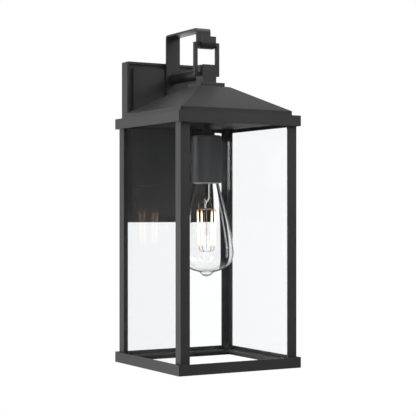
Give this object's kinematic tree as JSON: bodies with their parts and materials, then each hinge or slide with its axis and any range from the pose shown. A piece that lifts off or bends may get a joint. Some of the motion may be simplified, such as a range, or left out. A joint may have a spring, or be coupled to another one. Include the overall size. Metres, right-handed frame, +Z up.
{
  "type": "outdoor wall lantern",
  "caption": "Wall-mounted lantern with a square clear-glazed cage, pyramid roof, strap hook and link, and an unscrewing filament lamp inside.",
  "frame": {"origin": "on the wall, in the middle of the backplate's back and midway between the crossbar's two outlet box slots", "axes": "+Z up, +Y into the wall so that the lantern stands out towards -Y, +X to the right of a viewer facing the wall"},
  "size_m": [0.1618, 0.1829, 0.4],
  "materials": {
    "black_coat": "satin",
    "zinc_steel": "satin",
    "green_steel": "satin",
    "black_plastic": "matte",
    "clear_pane": "gloss",
    "porcelain": "gloss",
    "brass": "satin",
    "lamp_glass": "gloss",
    "nickel": "satin",
    "black_glass": "gloss",
    "filament": "satin"
  },
  "bodies": {
    "lantern": {"backplate": "black_coat", "crossbar": "zinc_steel", "side_screws": "black_coat", "earth_screw": "green_steel", "strap_arm": "black_coat", "strap_screws": "zinc_steel", "arm_tube": "black_coat", "arm_washer": "zinc_steel", "arm_nut": "zinc_steel", "wire_bushing": "black_plastic", "hanger_block": "black_coat", "cap_plate": "black_coat", "roof": "black_coat", "roof_screws": "black_coat", "top_frame": "black_coat", "ceiling_plate": "black_coat", "bottom_frame": "black_coat", "post_front_left": "black_coat", "post_front_right": "black_coat", "post_rear_right": "black_coat", "post_rear_left": "black_coat", "pane_front": "clear_pane", "pane_right": "clear_pane", "pane_rear": "clear_pane", "pane_left": "clear_pane", "pane_clips": "black_coat", "clip_screws": "black_coat", "stem": "black_coat", "stem_washers": "zinc_steel", "stem_nuts": "zinc_steel", "socket_cup": "black_coat", "socket_body": "porcelain", "socket_shell": "brass", "socket_contact": "brass", "terminal_screws": "brass"},
    "link": {"link": "black_coat"},
    "lamp_contact": {"bulb_contact": "nickel"},
    "lamp": {"bulb_glass": "lamp_glass", "bulb_cap": "nickel", "bulb_insulator": "black_glass", "bulb_mount": "lamp_glass", "bulb_leads": "nickel", "bulb_filaments": "filament", "bulb_support": "nickel"}
  },
  "joints": [
    {"name": "link_shift", "type": "slide", "parent": "lantern", "child": "link", "axis": [1, 0, 0], "range_m": [-0.0023, 0.0023]},
    {"name": "lamp_travel", "type": "slide", "parent": "lantern", "child": "lamp_contact", "axis": [0, 0, -1], "range_m": [0, 0.02177]},
    {"name": "lamp_turn", "type": "hinge", "parent": "lamp_contact", "child": "lamp", "pos_m": [0, -0.102, -0.044], "axis": [0, 0, -1], "range_deg": [0, 2161]}
  ],
  "couplings": [
    {"joint": "lamp_turn", "follows": "lamp_travel", "rad_per_m": 1731.4}
  ]
}
